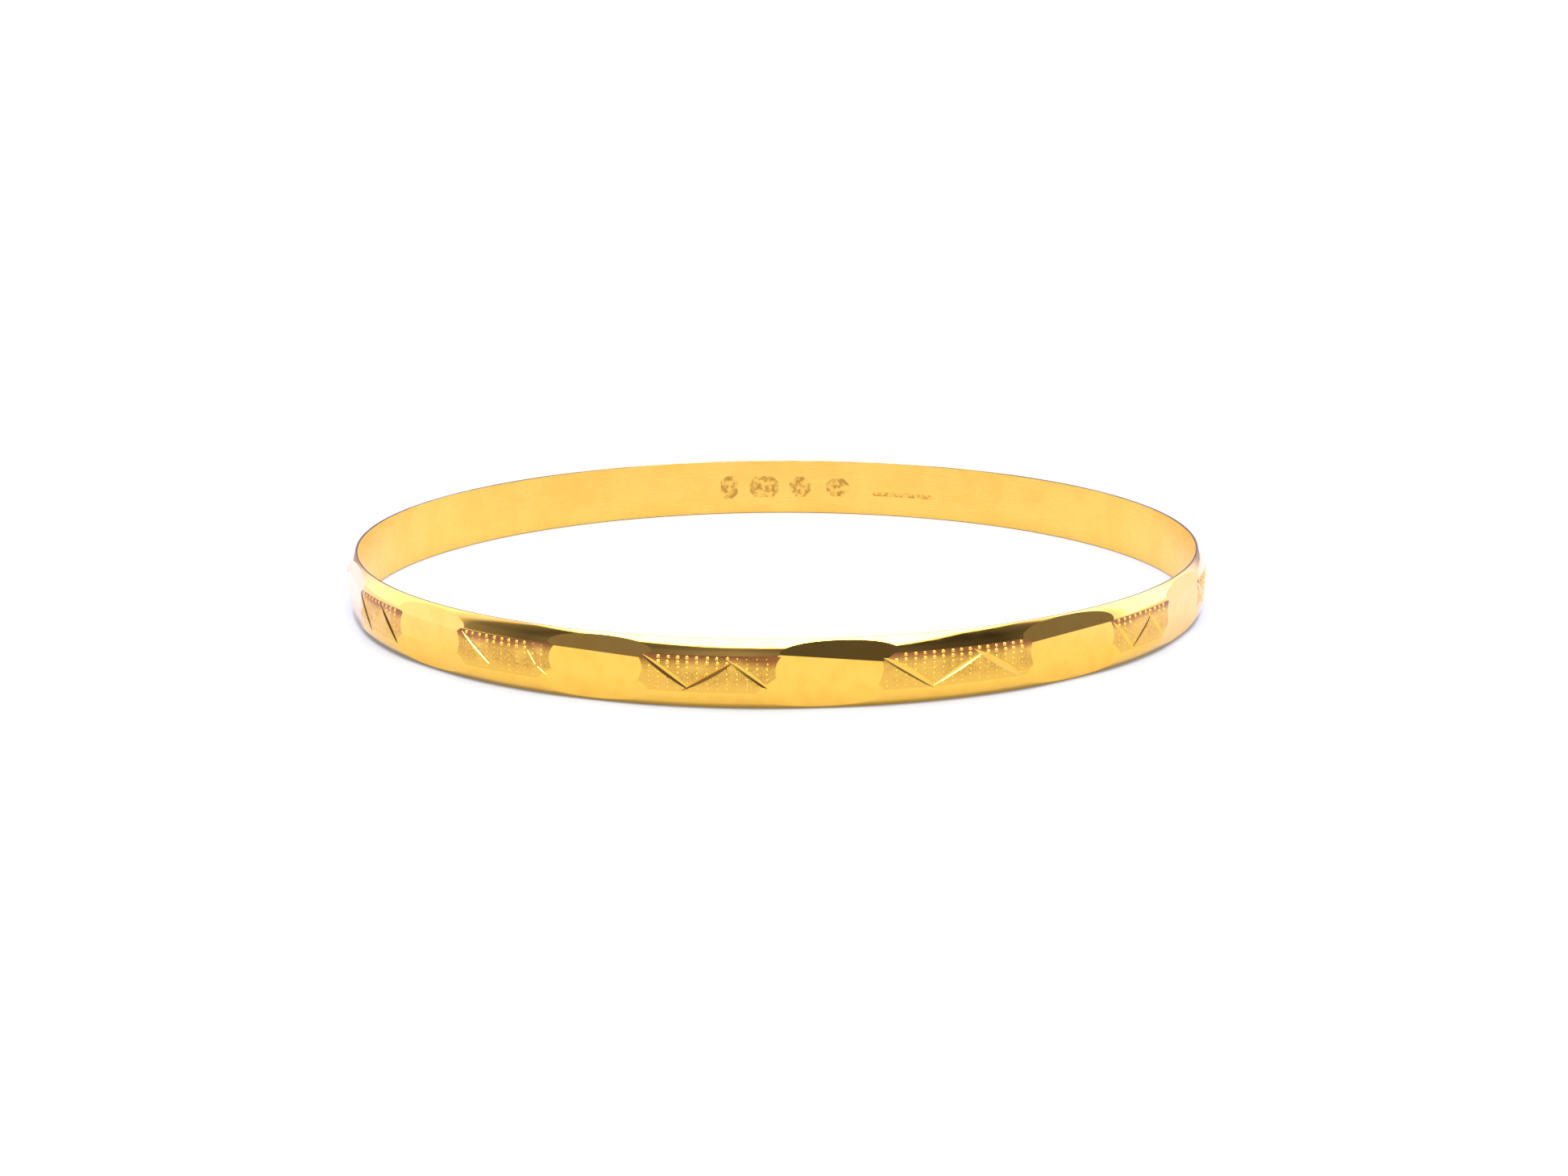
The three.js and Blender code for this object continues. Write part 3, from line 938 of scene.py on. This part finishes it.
def pale_paper():
    """Paper that glows a little, a painted glow, more so at the sides and less near the foot of the ring, a
    painted contact shadow.
    """
    material, nodes, shader = new_material("pale_paper")
    shader.inputs["Roughness"].default_value = PAPER_ROUGHNESS
    shader.inputs["Specular IOR Level"].default_value = 0.0
    point = nodes.place()
    fibres = nodes.noise(point, scale=1.5, detail=3.0)
    paper = nodes.mix(nodes.step(fibres, 0.3, 0.7), PAPER, PAPER_DARK)
    x, y, _ = nodes.split(point)
    side = nodes.step(nodes.math("ABSOLUTE", x), *SIDE_GLOW_START)
    nodes.put(shader.inputs["Base Color"], nodes.mix(side, paper, SIDE_PAPER))
    nodes.put(shader.inputs["Emission Color"], nodes.mix(side, MIDDLE_GLOW, SIDE_GLOW))
    squares = [nodes.math("MULTIPLY", axis, axis) for axis in (x, y)]
    distance = nodes.math("SQRT", nodes.math("ADD", *squares))
    off_foot = nodes.math("ABSOLUTE", nodes.math("SUBTRACT", distance, FOOT_RADIUS))
    # painted contact shadow: the glow is dimmed round the foot of the ring
    nodes.put(shader.inputs["Emission Strength"], nodes.step(off_foot, *FOOT_PAINTED_SHADOW))
    return material


def make_floor():
    """A large sheet of pale paper below the ring."""
    mesh = bpy.data.meshes.new("floor")
    half = FLOOR_HALF_SIZE
    height = CAD_BOX[0].z
    corners = [(-half, -half, height), (half, -half, height), (half, half, height), (-half, half, height)]
    mesh.from_pydata(corners, [], [(0, 1, 2, 3)])
    mesh.materials.append(pale_paper())
    floor = bpy.data.objects.new("floor", mesh)
    bpy.context.collection.objects.link(floor)


def round_the_tent(stops):
    """Colour ramp stops from values given at azimuths from -180 to 180 degrees."""
    return [((azimuth + 180) / 360, value) for azimuth, value in stops]


def tent_light(nodes):
    """Light of the tent in every direction, as a share of the brightest."""
    x, y, z = nodes.split(nodes.add("ShaderNodeTexCoord").outputs["Generated"])
    elevation = nodes.math("DEGREES", nodes.math("ARCSINE", z))
    away = nodes.math("DEGREES", nodes.math("ARCTAN2", x, nodes.math("MULTIPLY", y, -1.0)))
    narrowing = nodes.math("MULTIPLY_ADD", elevation, -OPENING_SPREAD, 1.0)
    away = nodes.math("MULTIPLY", away, narrowing)
    turned = nodes.math("MULTIPLY_ADD", away, 1 / 360, 0.5)
    wall = nodes.ramp(turned, round_the_tent((azimuth, light / BRIGHTEST) for azimuth, light in WALL_LIGHT))
    top = nodes.ramp(turned, round_the_tent((azimuth, height / 90) for azimuth, height in OPENING_TOP))
    over = nodes.math("SUBTRACT", elevation, nodes.math("MULTIPLY", top, 90.0))
    ceiling = nodes.step(over, -OPENING_BLUR, OPENING_BLUR)
    above = nodes.step(elevation, *OPENING_LOW)
    wall_part = nodes.math("MULTIPLY", above, nodes.math("SUBTRACT", 1.0, ceiling))
    level = nodes.mix(wall_part, (PLAIN_WALL / BRIGHTEST,) * 3, wall)
    in_front = nodes.step(nodes.math("ABSOLUTE", away), *OPENING_SIDE, start=1.0, end=0.0)
    fade = nodes.mix(in_front, (1.0, 1.0, 1.0), nodes.step(elevation, *OPENING_FADE))
    tinted = nodes.mix(1.0, nodes.mix(1.0, level, WALL_TINT, "MULTIPLY"), fade, "MULTIPLY")
    level = nodes.mix(wall_part, level, tinted)
    return nodes.mix(ceiling, level, (CEILING_LIGHT / BRIGHTEST,) * 3)


def make_studio():
    """A light tent: pale walls, a bright ceiling, two side lights and a dim opening in front."""
    world = bpy.data.worlds.new("studio")
    bpy.context.scene.world = world
    world.use_nodes = True
    nodes = Nodes(world.node_tree)
    lit = nodes.add("ShaderNodeBackground")
    nodes.put(lit.inputs["Color"], tent_light(nodes))
    nodes.put(lit.inputs["Strength"], BRIGHTEST)
    backdrop = nodes.add("ShaderNodeBackground")
    nodes.put(backdrop.inputs["Color"], (1, 1, 1, 1))
    nodes.put(backdrop.inputs["Strength"], BACKDROP_LIGHT)
    seen = nodes.add("ShaderNodeLightPath").outputs["Is Camera Ray"]
    choice = nodes.add("ShaderNodeMixShader")
    nodes.put(choice.inputs[0], seen)
    nodes.put(choice.inputs[1], lit.outputs[0])
    nodes.put(choice.inputs[2], backdrop.outputs[0])
    output = nodes.add("ShaderNodeOutputWorld")
    nodes.tree.links.new(choice.outputs[0], output.inputs[0])


def make_camera():
    elevation = math.radians(CAMERA_ELEVATION)
    towards = Vector((0, math.cos(elevation), -math.sin(elevation)))
    right = Vector((1, 0, 0))
    up = right.cross(towards)
    place = towards * -CAMERA_DISTANCE
    aim = right * AIM_RIGHT + up * AIM_UP
    back = (place - aim).normalized()
    camera = bpy.data.objects.new("camera", bpy.data.cameras.new("camera"))
    bpy.context.collection.objects.link(camera)
    camera.data.lens = CAMERA_LENS
    camera.data.sensor_width = CAMERA_SENSOR
    camera.data.clip_start, camera.data.clip_end = CAMERA_CLIP
    camera.location = place
    camera.rotation_mode = "QUATERNION"
    roll = Quaternion((0, 0, 1), math.radians(CAMERA_ROLL))
    camera.rotation_quaternion = back.to_track_quat("Z", "Y") @ roll
    bpy.context.scene.camera = camera


beads, bead_centres = make_beads(bead_places(random.Random(BEAD_SEED)))
ring = decorated_ring(beads)
slab = seam_slab()
solder_mesh = combine(ring, slab, "INTERSECT")
band_mesh = combine(ring, slab, "DIFFERENCE")

band = make_piece(band_mesh, bead_centres, "bangle_band", band_materials())
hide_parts("band")
seam = make_piece(solder_mesh, bead_centres, "closing_seam", [solder_gold()] * len(KINDS))
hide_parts("solder_seam")

make_floor()
make_studio()
make_camera()
bpy.context.scene.view_settings.view_transform = "Standard"
